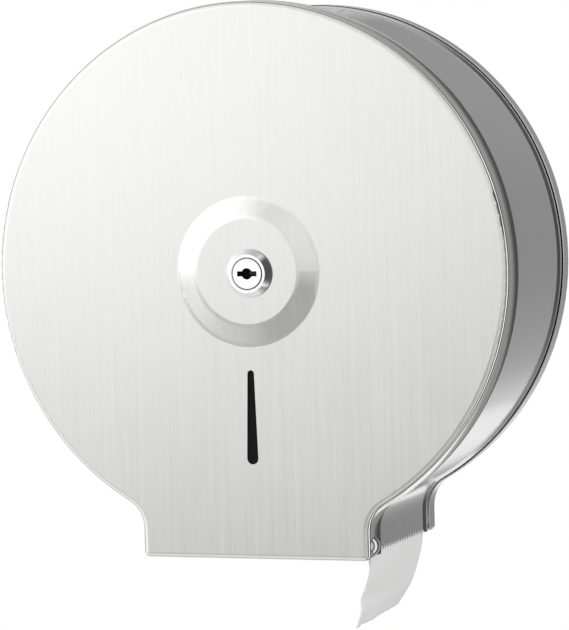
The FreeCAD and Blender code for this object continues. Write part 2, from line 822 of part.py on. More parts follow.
def make_cam_screw():
    """Slotted screw that holds the cam on the plug's square tail."""
    head_out = cam_rear_out - cam_screw_height
    tip_out = cam_rear_out + cam_screw_depth - loose_gap
    shank = rod(cam_screw_radius, cam_rear_out, tip_out, lock_right, -lock_down)
    head = rod(cam_screw_head, head_out, cam_rear_out, lock_right, -lock_down)
    slot = block(2 * cam_screw_head, cam_screw_radius / 2, head_out, head_out + cam_screw_height / 2,
                 lock_right, -lock_down)
    return joined([shank, head]).cut(slot)


makers = {
    "back_pan": make_back_pan,
    "side_band": make_side_band,
    "band_tabs": make_band_tabs,
    "tab_rivets": make_tab_rivets,
    "hinge_rivets": make_hinge_rivets,
    "hinge_spacers": make_hinge_spacers,
    "spindle_foot": make_spindle_foot,
    "spindle_rivets": make_spindle_rivets,
    "spindle_tube": make_spindle_tube,
    "sleeve_ring": make_sleeve_ring,
    "keeper_cap": make_keeper_cap,
    "keeper_screws": make_keeper_screws,
    "spindle_sleeve": make_spindle_sleeve,
    "roll_core": make_roll_core,
    "paper_roll": make_paper_roll,
    "paper_tail": make_paper_tail,
    "front_cover": make_front_cover,
    "slot_window": make_slot_window,
    "lock_housing": make_lock_housing,
    "lock_washer": make_lock_washer,
    "lock_nut": make_lock_nut,
    "lock_plug": make_lock_plug,
    "lock_clip": make_lock_clip,
    "lock_cam": make_lock_cam,
    "cam_screw": make_cam_screw,
}

os.makedirs("parts", exist_ok=True)
for name, make in makers.items():
    shape = make()
    shape.exportStep("parts/" + name + ".step")
    print(name, len(shape.Solids), shape.isValid(), round(shape.Volume, 1))
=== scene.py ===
"""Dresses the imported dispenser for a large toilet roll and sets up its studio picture."""

import json
import logging
import math
from dataclasses import dataclass, replace
from enum import Enum
from typing import Any

import bpy
from mathutils import Matrix, Vector, noise

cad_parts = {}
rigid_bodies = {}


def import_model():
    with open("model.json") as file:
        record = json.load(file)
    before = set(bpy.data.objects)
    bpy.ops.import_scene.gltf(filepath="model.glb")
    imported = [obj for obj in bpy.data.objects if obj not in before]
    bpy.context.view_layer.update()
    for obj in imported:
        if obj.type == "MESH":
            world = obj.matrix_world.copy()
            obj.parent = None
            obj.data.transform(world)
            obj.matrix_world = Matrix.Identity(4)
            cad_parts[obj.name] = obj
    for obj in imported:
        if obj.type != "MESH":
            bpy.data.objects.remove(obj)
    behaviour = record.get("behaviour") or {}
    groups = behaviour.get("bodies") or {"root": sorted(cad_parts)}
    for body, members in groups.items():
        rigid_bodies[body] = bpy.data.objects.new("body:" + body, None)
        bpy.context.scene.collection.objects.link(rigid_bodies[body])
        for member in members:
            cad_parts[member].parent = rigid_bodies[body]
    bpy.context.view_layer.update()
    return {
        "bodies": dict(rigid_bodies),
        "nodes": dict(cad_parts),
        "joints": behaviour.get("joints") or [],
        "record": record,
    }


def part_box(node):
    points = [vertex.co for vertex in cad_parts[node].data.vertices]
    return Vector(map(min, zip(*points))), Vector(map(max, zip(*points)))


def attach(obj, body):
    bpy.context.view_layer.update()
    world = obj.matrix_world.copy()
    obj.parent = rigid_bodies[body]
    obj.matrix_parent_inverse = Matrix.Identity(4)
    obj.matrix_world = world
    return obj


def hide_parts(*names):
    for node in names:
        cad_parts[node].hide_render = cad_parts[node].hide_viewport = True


LOG = logging.getLogger("dispenser")
MM = 0.001

# share * (1 - share) * PARABOLA is 1 halfway and 0 at both ends.
PARABOLA = 4.0

# Three numbers: a colour, a place, or sizes along X, Y and Z.
Triple = tuple[float, float, float]

# Where a climb starts and where it is full.
Span = tuple[float, float]

# Pairs of numbers: the places along an edge, or the levels along a ramp.
Pairs = tuple[tuple[float, float], ...]

# What a node's input takes: a number, a colour, a signal or a socket.
Link = Any


# Shader and geometry trees

class Signal:
    """A socket that carries a number, so that maths on it is written as Python."""

    def __init__(self, bench: "Bench", socket: bpy.types.NodeSocket) -> None:
        """Keep the socket and the bench that adds nodes beside it.

        Args:
            bench: The tree that the socket belongs to.
            socket: The output socket that carries the number.
        """
        self.bench = bench
        self.socket = socket

    def _math(self, operation: str, first: Link, second: Link = 0.0) -> "Signal":
        """Add one Math node.

        Args:
            operation: The Math node's operation.
            first: Its first number or signal.
            second: Its second number or signal.

        Returns:
            The node's result.
        """
        inputs = {0: first, 1: second}
        return self.bench.signal("ShaderNodeMath", {"operation": operation}, inputs)

    def __add__(self, other: Link) -> "Signal":
        """Sum."""
        return self._math("ADD", self, other)

    __radd__ = __add__

    def __sub__(self, other: Link) -> "Signal":
        """Difference."""
        return self._math("SUBTRACT", self, other)

    def __rsub__(self, other: Link) -> "Signal":
        """Difference from a number."""
        return self._math("SUBTRACT", other, self)

    def __mul__(self, other: Link) -> "Signal":
        """Product."""
        return self._math("MULTIPLY", self, other)

    __rmul__ = __mul__

    def __truediv__(self, other: Link) -> "Signal":
        """Quotient."""
        return self._math("DIVIDE", self, other)

    def least(self, other: Link) -> "Signal":
        """The smaller of the two."""
        return self._math("MINIMUM", self, other)

    def most(self, other: Link) -> "Signal":
        """The larger of the two."""
        return self._math("MAXIMUM", self, other)

    def clamped(self) -> "Signal":
        """The number held between 0 and 1."""
        return self.most(0.0).least(1.0)

    def root(self) -> "Signal":
        """Square root."""
        return self._math("SQRT", self)

    def sine(self) -> "Signal":
        """Sine of radians."""
        return self._math("SINE", self)

    def cosine(self) -> "Signal":
        """Cosine of radians."""
        return self._math("COSINE", self)

    def angle(self, other: Link) -> "Signal":
        """Turn in radians, from the way that the other number measures towards this one's."""
        return self._math("ARCTAN2", self, other)

    def from_whole(self) -> "Signal":
        """Distance to the nearest whole number."""
        return self._math("PINGPONG", self, 0.5)

    def rise(self, start: float, end: float) -> "Signal":
        """Straight climb from 0 at start to 1 at end, held there on both sides."""
        return ((self - start) / (end - start)).clamped()

    def swing(self, amount: float) -> "Signal":
        """Turn noise from 0 to 1 into a change of up to half the amount either way."""
        return (self - 0.5) * amount


@dataclass(frozen=True)
class Cloud:
    """Soft noise: the size of one cloud along X, Y and Z in metres, and its finer octaves."""

    size: Triple
    octaves: float = 2.0
    roughness: float = 0.5

    def widened(self, times: float) -> "Cloud":
        """Clouds of the same shape, larger and with plain octaves."""
        return Cloud(tuple(size * times for size in self.size))


class Bench:
    """Adds nodes to one tree, each through the same method."""

    def __init__(self, tree: bpy.types.NodeTree) -> None:
        """Keep the tree."""
        self.tree = tree

    def node(self, kind: str, settings: dict[str, Any] | None = None,
             inputs: dict[int | str, Link] | None = None) -> bpy.types.Node:
        """Add one node.

        Args:
            kind: The node's type.
            settings: Properties set before its inputs. "stops" gives a colour ramp's stops.
            inputs: Values, signals or sockets by input name or number.

        Returns:
            The new node.
        """
        node = self.tree.nodes.new(kind)
        for key, value in (settings or {}).items():
            if key == "stops":
                self._set_stops(node.color_ramp, value)
            else:
                setattr(node, key, value)
        for key, value in (inputs or {}).items():
            target = node.inputs[key]
            if isinstance(value, Signal):
                value = value.socket
            if isinstance(value, bpy.types.NodeSocket):
                self.tree.links.new(value, target)
            else:
                target.default_value = value
        return node

    def _set_stops(self, ramp: bpy.types.ColorRamp, stops: list[tuple[float, float]]) -> None:
        """Give a colour ramp grey stops.

        Args:
            ramp: The ramp to fill.
            stops: Pairs of position and grey level.
        """
        while len(ramp.elements) < len(stops):
            ramp.elements.new(1.0)
        for element, (position, level) in zip(ramp.elements, stops):
            element.position = position
            element.color = grey(level)

    def signal(self, kind: str, settings: dict[str, Any] | None = None,
               inputs: dict[int | str, Link] | None = None, output: int | str = 0) -> Signal:
        """Add one node and keep one of its outputs.

        Args:
            kind: The node's type.
            settings: Properties set before its inputs.
            inputs: Values, signals or sockets by input name or number.
            output: The output's name or number.

        Returns:
            That output as a signal.
        """
        return Signal(self, self.node(kind, settings, inputs).outputs[output])

    def split(self, vector: bpy.types.NodeSocket) -> tuple[Signal, Signal, Signal]:
        """X, Y and Z of a vector."""
        parts = self.node("ShaderNodeSeparateXYZ", None, {0: vector})
        return tuple(Signal(self, parts.outputs[index]) for index in range(3))

    def joined(self, x: Link, y: Link, z: Link) -> bpy.types.NodeSocket:
        """A vector of three numbers."""
        return self.node("ShaderNodeCombineXYZ", None, {0: x, 1: y, 2: z}).outputs[0]

    def places(self, kind: str = "Object") -> tuple[Signal, Signal, Signal]:
        """X, Y and Z of a texture coordinate; with no kind given, the piece's own, in metres."""
        return self.split(self.node("ShaderNodeTexCoord").outputs[kind])

    def cloud(self, cloud: Cloud) -> Signal:
        """Noise on the piece's own coordinates.

        Args:
            cloud: Its size and octaves.

        Returns:
            Noise from 0 to 1.
        """
        where = self.node("ShaderNodeTexCoord").outputs["Object"]
        scale = tuple(1.0 / size for size in cloud.size)
        spread = self.node("ShaderNodeMapping", None, {"Vector": where, "Scale": scale})
        return self.signal("ShaderNodeTexNoise", None, {
            "Vector": spread.outputs[0], "Scale": 1.0,
            "Detail": cloud.octaves, "Roughness": cloud.roughness})


def grey(level: float) -> tuple[float, float, float, float]:
    """Opaque grey."""
    return (level, level, level, 1.0)


def cleared(block: bpy.types.Material | bpy.types.World) -> Bench:
    """Give a new material or world an empty node tree.

    Args:
        block: The material or world.

    Returns:
        A bench on its tree.
    """
    block.use_nodes = True
    block.node_tree.nodes.clear()
    return Bench(block.node_tree)


# Finishes

@dataclass(frozen=True)
class Finish:
    """What every finish has: a name, a colour and how rough it is."""

    name: str
    color: Triple
    roughness: float

    def material(self) -> bpy.types.Material:
        """Build the finish's material.

        Returns:
            The new material.
        """
        made = bpy.data.materials.new(self.name)
        bench = cleared(made)
        shader = bench.node("ShaderNodeBsdfPrincipled", None, {"Base Color": (*self.color, 1.0)})
        shader.inputs["Roughness"].default_value = self.roughness
        self.dress(bench, shader)
        bench.node("ShaderNodeOutputMaterial", None, {"Surface": shader.outputs[0]})
        return made

    def dress(self, bench: Bench, shader: bpy.types.Node) -> None:
        """Add the finish's own detail; a plain finish has none."""

    def bump(self, bench: Bench, shader: bpy.types.Node, height: Signal) -> None:
        """Raise the surface by a signal.

        Args:
            bench: The material's nodes.
            shader: The shader whose normal is bent.
            height: Height in metres.
        """
        inputs = {"Strength": 1.0, "Distance": 1.0, "Height": height}
        node = bench.node("ShaderNodeBump", None, inputs)
        bench.tree.links.new(node.outputs[0], shader.inputs["Normal"])

    def tint(self, bench: Bench, shader: bpy.types.Node, level: Signal) -> None:
        """Scale the finish's colour by a signal.

        Args:
            bench: The material's nodes.
            shader: The shader to colour.
            level: 1 leaves the colour as it is.
        """
        plain = bench.node("ShaderNodeRGB")
        plain.outputs[0].default_value = (*self.color, 1.0)
        inputs = {0: plain.outputs[0], "Scale": level}
        scaled = bench.node("ShaderNodeVectorMath", {"operation": "SCALE"}, inputs)
        bench.tree.links.new(scaled.outputs[0], shader.inputs["Base Color"])

    def vary_roughness(self, bench: Bench, shader: bpy.types.Node, change: Signal) -> None:
        """Add a signal to the roughness."""
        bench.tree.links.new((change + self.roughness).socket, shader.inputs["Roughness"])


class Grain(Enum):
    """Which way a brushed surface's lines run, as the clouds that draw them."""

    UPRIGHT = Cloud((0.0009, 0.0009, 0.040), 3.0, 0.7)
    AROUND = Cloud((0.03, 0.0008, 0.03), 3.0, 0.7)
    FINE = Cloud((0.0012, 0.0012, 0.0012), 3.0, 0.7)


@dataclass(frozen=True)
class Steel(Finish):
    """Brushed or polished stainless steel."""

    grain: Grain = Grain.UPRIGHT
    streak: float = 0.05
    smudge: float = 0.04
    groove: float = 0.000004
    wide_lines: float = 3.0
    smudges: Cloud = Cloud((0.06, 0.06, 0.06), 3.0)
    roughness_share: float = 0.5

    def dress(self, bench: Bench, shader: bpy.types.Node) -> None:
        """Brush lines in the colour, roughness and height, and soft smudges over them.

        Args:
            bench: The material's nodes.
            shader: The shader to dress.
        """
        shader.inputs["Metallic"].default_value = 1.0
        lines = bench.cloud(self.grain.value)
        wide = bench.cloud(self.grain.value.widened(self.wide_lines))
        smudges = bench.cloud(self.smudges)
        marks = lines.swing(self.streak) + wide.swing(self.streak) + smudges.swing(self.smudge)
        self.tint(bench, shader, (marks + 1.0) * self.left_by_painted_shade(bench))
        self.vary_roughness(bench, shader, marks * self.roughness_share + self.smoothing(bench))
        self.bump(bench, shader, lines * self.groove + self.form(bench))

    def left_by_painted_shade(self, bench: Bench) -> Link:
        """Share of the colour left by painted shade; open steel has no painted shade and keeps all."""
        return 1.0

    def smoothing(self, bench: Bench) -> Link:
        """Change of roughness from place to place; even steel has none."""
        return 0.0

    def form(self, bench: Bench) -> Link:
        """Height in metres of the sheet's own form; flat steel has none."""
        return 0.0


@dataclass(frozen=True)
class CoverSteel(Steel):
    """The cover's sheet: brushed on its face, smoother and slightly belled on its flange, with a painted
    dark reflection along its bend.
    """

    face_y: float = 0.0
    flange_end_y: float = 0.0
    bend: float = 0.0003
    bend_blur: float = 0.18
    flange_start: float = 0.0007
    flange_full: float = 0.0010
    flange_smoothing: float = -0.31
    bell_share: float = 0.85
    bell_height: float = 0.0018
    hem_start: float = 0.0009
    hem_end: float = 0.0005
    hem_height: float = 0.0003
    # Where the painted dark reflection along the bend starts and ends behind the face, how soft its edges
    # are, and how much of the colour it takes away.
    line_start: float = 0.0007
    line_end: float = 0.0012
    line_blend: float = 0.00008
    painted_line_darkness: float = 0.55

    def left_by_painted_shade(self, bench: Bench) -> Signal:
        """Painted dark reflection: a dark line painted along the bend, in front of its bright one.

        Args:
            bench: The material's nodes.

        Returns:
            Share of the colour that stays.
        """
        depth = bench.places()[1]
        start = self.face_y + self.line_start
        end = self.face_y + self.line_end
        line = depth.rise(start, start + self.line_blend) * depth.rise(end, end - self.line_blend)
        return 1.0 - line * self.painted_line_darkness

    def smoothing(self, bench: Bench) -> Signal:
        """The bend is rubbed dull, and the flange is smoother than the face.

        Args:
            bench: The material's nodes.

        Returns:
            Change of roughness.
        """
        depth = bench.places()[1]
        blur = depth.rise(self.face_y, self.face_y + self.bend) * self.bend_blur
        flange = depth.rise(self.face_y + self.flange_start, self.face_y + self.flange_full)
        return blur + flange * self.flange_smoothing

    def form(self, bench: Bench) -> Signal:
        """The flange opens like a bell towards its rear edge, and its hem lies flat.

        Args:
            bench: The material's nodes.

        Returns:
            Height in metres.
        """
        depth = bench.places()[1]
        start = self.flange_end_y + (self.face_y - self.flange_end_y) * self.bell_share
        bell = depth.rise(start, self.flange_end_y)
        hem = depth.rise(self.flange_end_y - self.hem_start, self.flange_end_y - self.hem_end)
        return bell * bell * self.bell_height - hem * self.hem_height


@dataclass(frozen=True)
class BandSteel(Steel):
    """The drum's side, whose flare eases into a straight rear edge."""

    rear_y: float = 0.0
    edge: float = 0.0009
    knee: float = 0.0015
    flare: float = 0.0047
    ease: float = 0.0002
    turn: float = 0.00016

    def form(self, bench: Bench) -> Signal:
        """The flare is shallower than its sheet, and ends in a turned edge.

        Args:
            bench: The material's nodes.

        Returns:
            Height in metres.
        """
        depth = bench.places()[1]
        shallow = depth.rise(self.rear_y - self.flare, self.rear_y - self.knee) * self.ease
        turned = depth.rise(self.rear_y - self.knee, self.rear_y - self.edge) * self.turn
        return 0.0 - shallow - turned


@dataclass(frozen=True)
class PanSteel(Steel):
    """The back pan, whose rim ends in a rounded edge, with painted shade inside it, where little light
    gets in.
    """

    front_y: float = 0.0
    radius: float = 0.0
    round: float = 0.0009
    fall: float = 0.00165
    skin: float = 0.0005
    shade_ring_width: float = 0.012
    # Share of the colour that the painted shade leaves.
    inside: float = 0.1

    def left_by_painted_shade(self, bench: Bench) -> Signal:
        """Painted shade: the ring behind the band's rear edge is painted dark.

        Args:
            bench: The material's nodes.

        Returns:
            Share of the colour that stays.
        """
        x, depth, z = bench.places()
        radius = (x * x + z * z).root()
        start = self.radius - self.shade_ring_width
        ring = radius.rise(start, start + self.skin)
        ring = ring * radius.rise(self.radius - self.skin / 2, self.radius - self.skin)
        return 1.0 - ring * depth.rise(-self.skin / 2, -self.skin) * (1.0 - self.inside)

    def form(self, bench: Bench) -> Signal:
        """The rim's edge falls away towards the front."""
        return bench.places()[1].rise(self.front_y, self.front_y + self.round) * self.fall


@dataclass(frozen=True)
class Chrome(Finish):
    """Polished plating with faint handling marks."""

    scratches: Cloud = Cloud((0.0004, 0.0004, 0.003), 3.0)
    dulling: float = 0.08
    darkening: float = 0.04

    def dress(self, bench: Bench, shader: bpy.types.Node) -> None:
        """Fine scratches in the roughness and the colour.

        Args:
            bench: The material's nodes.
            shader: The shader to dress.
        """
        shader.inputs["Metallic"].default_value = 1.0
        marks = bench.cloud(self.scratches)
        self.vary_roughness(bench, shader, marks.swing(self.dulling))
        self.tint(bench, shader, (marks.swing(self.darkening) + 1.0) * self.left_by_painted_shade(bench))

    def left_by_painted_shade(self, bench: Bench) -> Link:
        """Share of the colour left by painted shade; open plating has no painted shade and keeps all."""
        return 1.0


@dataclass(frozen=True)
class PlugChrome(Chrome):
    """The plug's plating, which ends inside the keyhole, with painted shade in the keyhole and in the seam
    round the plug.
    """

    front_y: float = 0.0
    centre_x: float = 0.0
    centre_z: float = 0.0
    radius: float = 0.0
    seam: float = 0.0005
    lit_depth: float = 0.0006
    # Share of the colour that the painted shade leaves in the keyhole and the seam.
    inside: float = 0.03

    def left_by_painted_shade(self, bench: Bench) -> Signal:
        """Painted shade: the keyhole is painted dark just behind the plug's front, and the seam round the
        plug is painted dark.

        Args:
            bench: The material's nodes.

        Returns:
            Share of the colour that stays.
        """
        x, depth, z = bench.places()
        across = x - self.centre_x
        upward = z - self.centre_z
        reach = (across * across + upward * upward).root()
        seam = reach.rise(self.radius - self.seam, self.radius - self.seam / 2)
        keyhole = depth.rise(self.front_y + self.lit_depth / 2, self.front_y + self.lit_depth)
        return 1.0 - keyhole.most(seam) * (1.0 - self.inside)


@dataclass(frozen=True)
class BezelChrome(Chrome):
    """The lock body's plating, with painted shade in the seam where its bezel meets the sheet."""

    front_y: float = 0.0
    height: float = 0.0042
    foot: float = 0.0010
    blend: float = 0.0002
    # Share of the colour that the painted shade leaves at the bezel's foot.
    inside: float = 0.10

    def left_by_painted_shade(self, bench: Bench) -> Signal:
        """Painted shade: the bezel's foot is painted dark.

        Args:
            bench: The material's nodes.

        Returns:
            Share of the colour that stays.
        """
        depth = bench.places()[1]
        base = self.front_y + self.height
        foot = depth.rise(base - self.foot, base - self.foot + self.blend)
        foot = foot * depth.rise(base + self.blend * 2, base + self.blend)
        return 1.0 - foot * (1.0 - self.inside)


@dataclass(frozen=True)
class Plastic(Finish):
    """Moulded plastic with a fine skin."""

    skin: float = 0.00002
    shine: float = 0.5
    pores: Cloud = Cloud((0.0006, 0.0006, 0.0006))
    tones: Cloud = Cloud((0.03, 0.03, 0.03))
    tone_change: float = 0.12
    roughness_change: float = 0.1

    def dress(self, bench: Bench, shader: bpy.types.Node) -> None:
        """Moulded skin and slight changes of tone.

        Args:
            bench: The material's nodes.
            shader: The shader to dress.
        """
        shader.inputs["Specular IOR Level"].default_value = self.shine
        pores = bench.cloud(self.pores)
        tones = bench.cloud(self.tones)
        self.tint(bench, shader, tones.swing(self.tone_change) + 1.0)
        self.vary_roughness(bench, shader, tones.swing(self.roughness_change))
        self.bump(bench, shader, pores * self.skin)


@dataclass(frozen=True)
class Board(Finish):
    """Grey-brown board, wound as a spiral."""

    seam_pitch: float = 0.045
    seam_width: float = 0.02
    seam_level: float = 0.75
    fibres: Cloud = Cloud((0.003, 0.0006, 0.003), 4.0, 0.7)
    fibre_change: float = 0.3
    tone: float = 0.9
    relief: float = 0.00008

    def dress(self, bench: Bench, shader: bpy.types.Node) -> None:
        """Fibres, and the board's slanting seam.

        Args:
            bench: The material's nodes.
            shader: The shader to dress.
        """
        x, y, z = bench.places()
        along = y / self.seam_pitch + z.angle(x) / math.tau
        seam = along.from_whole().rise(0.0, self.seam_width)
        fibres = bench.cloud(self.fibres)
        level = fibres.swing(self.fibre_change) + self.tone
        self.tint(bench, shader, level * (seam * (1.0 - self.seam_level) + self.seam_level))
        self.bump(bench, shader, (fibres + seam) * self.relief)


@dataclass(frozen=True)
class Tissue(Finish):
    """Soft paper, crepe-wrinkled across its width."""

    crepe: Cloud = Cloud((0.0022, 0.004, 0.0009), 3.0, 0.6)
    depth: float = 0.00007
    fibres: Cloud = Cloud((0.0005, 0.0005, 0.0005))
    fibre_share: float = 0.4
    tones: Cloud = Cloud((0.02, 0.02, 0.02))
    tone_change: float = 0.06
    # How much painted shade the crepe wrinkles put into the colour.
    crepe_painted_shade: float = 0.05

    def dress(self, bench: Bench, shader: bpy.types.Node) -> None:
        """Crepe wrinkles with painted shade in their colour, fibres and soft changes of tone.

        Args:
            bench: The material's nodes.
            shader: The shader to dress.
        """
        wrinkles = bench.cloud(self.crepe)
        fibres = bench.cloud(self.fibres)
        tones = bench.cloud(self.tones)
        level = tones.swing(self.tone_change) + wrinkles.swing(self.crepe_painted_shade) + 1.0
        self.tint(bench, shader, level)
        self.bump(bench, shader, (wrinkles + fibres * self.fibre_share) * self.depth)


@dataclass(frozen=True)
class WoundTissue(Finish):
    """The cut ends and the outside of a wound roll."""

    layer: float = 0.0004
    layer_octaves: float = 3.0
    layer_change: float = 0.16
    layer_share: float = 0.7
    fluff: Cloud = Cloud((0.001, 0.001, 0.001), 3.0)
    fluff_change: float = 0.06
    fluff_share: float = 0.3
    relief: float = 0.00025

    def dress(self, bench: Bench, shader: bpy.types.Node) -> None:
        """Rings of cut paper edges about the roll's axis.

        Args:
            bench: The material's nodes.
            shader: The shader to dress.
        """
        x, _, z = bench.places()
        radius = (x * x + z * z).root()
        inputs = {"W": radius / self.layer, "Scale": 1.0, "Detail": self.layer_octaves}
        rings = bench.signal("ShaderNodeTexNoise", {"noise_dimensions": "1D"}, inputs)
        fluff = bench.cloud(self.fluff)
        level = rings.swing(self.layer_change) + fluff.swing(self.fluff_change) + 1.0
        self.tint(bench, shader, level)
        height = rings * self.layer_share + fluff * self.fluff_share
        self.bump(bench, shader, height * self.relief)


# Pieces

def mesh_piece(name: str, points: list[Vector], faces: list[tuple[int, ...]],
               material: bpy.types.Material, smooth: bool = True) -> bpy.types.Object:
    """Make an object from points and faces.

    Args:
        name: The object's name.
        points: Corners, in metres.
        faces: Corner numbers of each face, outwards.
        material: The finish.
        smooth: Whether its faces shade as one curved surface.

    Returns:
        The new object at the origin.
    """
    mesh = bpy.data.meshes.new(name)
    mesh.from_pydata([tuple(point) for point in points], [], faces)
    mesh.materials.append(material)
    mesh.polygons.foreach_set("use_smooth", [smooth] * len(mesh.polygons))
    mesh.update()
    piece = bpy.data.objects.new(name, mesh)
    bpy.context.scene.collection.objects.link(piece)
    return piece


@dataclass(frozen=True)
class PaperTail:
    """The hanging end of the paper, torn off below the teeth."""

    width: float = 0.090
    rear_y: float = -0.014
    thickness: float = 0.0006
    across: int = 56
    along: int = 90
    seed: int = 7

    # Places (x, z) in millimetres that the hidden stretch passes, from the roll over the neck's shoulder.
    hidden_run: Pairs = ((91.1, -38.0), (79.7, -66.0), (67.9, -94.6), (57.3, -121.0), (54.5, -132.0))

    # Places (x, z) in millimetres that the free end passes, at its rear and its front edge.
    rear_run: Pairs = ((54.4, -143.2), (53.4, -152.0), (50.1, -163.5), (46.4, -172.6), (40.2, -182.4))
    front_run: Pairs = ((54.4, -143.2), (55.3, -152.5), (53.2, -160.8), (50.6, -167.4),
                        (50.2, -174.0), (47.2, -182.6))

    # The free end's soft waves: their depth, their numbers across and along, and where they start.
    wave: float = 0.0012
    waves_across: float = 3.0
    waves_along: float = 4.0
    waves_from: float = 0.42

    # The torn edge: its depth, where it starts, and its coarse and fine fibres, each as their number
    # across, their row in the noise and their strength.
    tear: float = 0.0006
    tear_from: float = 0.93
    tear_fibres: tuple[Triple, ...] = ((26.0, 3.3, 1.0), (70.0, 9.1, 0.5))

    def build(self, material: bpy.types.Material) -> bpy.types.Object:
        """Build the sheet as a closed mesh.

        Args:
            material: Its finish.

        Returns:
            The sheet.
        """
        rows = [self.row(index / self.along) for index in range(self.along + 1)]
        points, faces = self.shell(rows)
        return mesh_piece("paper_end", points, faces, material)

    def row(self, share: float) -> list[Vector]:
        """Points across the sheet at one share of its length.

        Args:
            share: 0 where it leaves the roll, 1 at the torn end.

        Returns:
            The row's points from the rear edge to the front edge.
        """
        rear = self.place(share, self.rear_run)
        front = self.place(share, self.front_run)
        hang = past(share, self.waves_from)
        end = past(share, self.tear_from)
        points = []
        for index in range(self.across + 1):
            side = index / self.across
            middle = rear.lerp(front, side)
            ripple = noise.noise(Vector((side * self.waves_across, share * self.waves_along, self.seed)))
            torn = sum(strength * noise.noise(Vector((side * count, line, self.seed)))
                       for count, line, strength in self.tear_fibres)
            x = middle.x + ripple * self.wave * hang
            z = middle.y + torn * self.tear * end * end
            points.append(Vector((x, self.rear_y - self.width * side, z)))
        return points

    def place(self, share: float, run: Pairs) -> Vector:
        """One place along one edge of the sheet.

        Args:
            share: 0 where the sheet leaves the roll, 1 at the torn end.
            run: The free end's places at this edge.

        Returns:
            (x, z) in metres.
        """
        route = [Vector(point) * MM for point in self.hidden_run + run]
        lengths = [0.0]
        for first, second in zip(route, route[1:]):
            lengths.append(lengths[-1] + (second - first).length)
        wanted = share * lengths[-1]
        index = 0
        while index < len(route) - 2 and wanted > lengths[index + 1]:
            index += 1
        part = (wanted - lengths[index]) / (lengths[index + 1] - lengths[index])
        return curved(route, index, part)

    def shell(self, rows: list[list[Vector]]) -> tuple[list[Vector], list[tuple[int, ...]]]:
        """Give the sheet its thickness.

        Args:
            rows: The sheet's middle surface.

        Returns:
            Points and faces of the closed shell.
        """
        count = len(rows)
        wide = len(rows[0])
        upper = []
        lower = []
        for i in range(count):
            for j in range(wide):
                along = rows[min(i + 1, count - 1)][j] - rows[max(i - 1, 0)][j]
                across = rows[i][min(j + 1, wide - 1)] - rows[i][max(j - 1, 0)]
                normal = across.cross(along).normalized() * (self.thickness / 2)
                upper.append(rows[i][j] + normal)
                lower.append(rows[i][j] - normal)
        base = count * wide
        faces = []
        for i in range(count - 1):
            for j in range(wide - 1):
                a = i * wide + j
                faces.append((a, a + 1, a + wide + 1, a + wide))
                faces.append((base + a, base + a + wide, base + a + wide + 1, base + a + 1))
        rim = list(range(wide))
        rim += [i * wide + wide - 1 for i in range(1, count)]
        rim += [(count - 1) * wide + j for j in range(wide - 2, -1, -1)]
        rim += [i * wide for i in range(count - 2, 0, -1)]
        for first, second in zip(rim, rim[1:] + rim[:1]):
            faces.append((second, first, base + first, base + second))
        return upper + lower, faces

    def length(self) -> float:
        """Length of the sheet along its rear edge."""
        edge = [self.place(index / self.along, self.rear_run) for index in range(self.along + 1)]
        return sum((second - first).length for first, second in zip(edge, edge[1:]))


def past(share: float, start: float) -> float:
    """Straight climb from 0 at start to 1 at the end, and 0 before it."""
    return max(share - start, 0.0) / (1.0 - start)


def curved(route: list[Vector], index: int, part: float) -> Vector:
    """A place on the smooth curve through a route's points.

    Args:
        route: The points that the curve passes.
        index: The point before the place.
        part: Share of the way to the next point.

    Returns:
        The place.
    """
    before = route[max(index - 1, 0)]
    start = route[index]
    end = route[index + 1]
    after = route[min(index + 2, len(route) - 1)]
    square = part * part
    cube = square * part
    place = start * 2 + (end - before) * part
    place = place + (before * 2 - start * 5 + end * 4 - after) * square
    place = place + (start * 3 - before - end * 3 + after) * cube
    return place / 2


